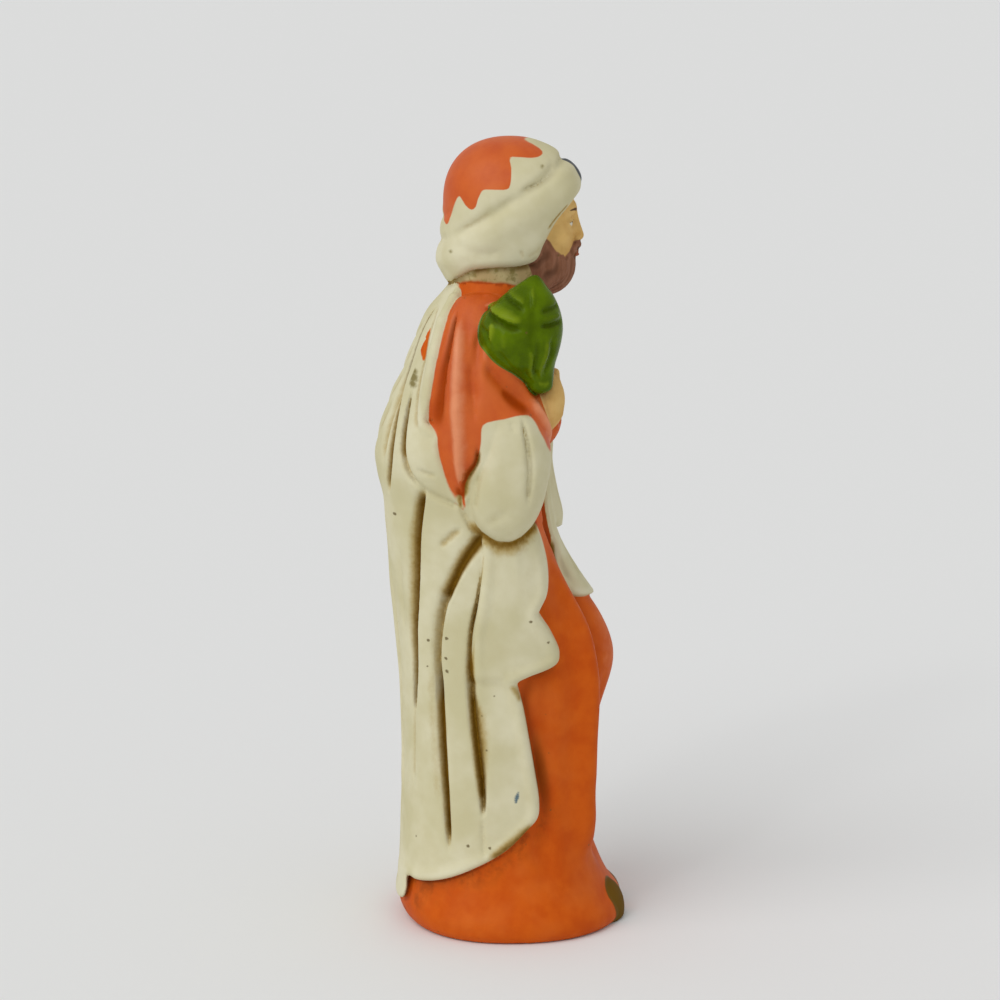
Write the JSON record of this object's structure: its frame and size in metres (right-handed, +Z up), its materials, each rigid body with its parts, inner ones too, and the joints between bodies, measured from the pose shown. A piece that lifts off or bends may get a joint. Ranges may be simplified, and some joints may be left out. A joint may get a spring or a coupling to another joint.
{
  "type": "nativity figure",
  "caption": "Small painted plaster nativity figure of a turbaned, bearded wise man in a robe and cloak, carrying a lidded jar on the right shoulder.",
  "frame": {"origin": "in the flat underside, at the middle of the base", "axes": "+Z up the figure, which looks along -Y, with its right hand and the jar on the -X side"},
  "size_m": [0.0351, 0.0375, 0.1197],
  "materials": {
    "painted_plaster": "hand-painted plaster: matt cream cloth with an olive-brown wash in the folds, satin orange robe, satin green jar"
  },
  "bodies": {
    "root": {"figure": "painted_plaster"}
  },
  "joints": []
}
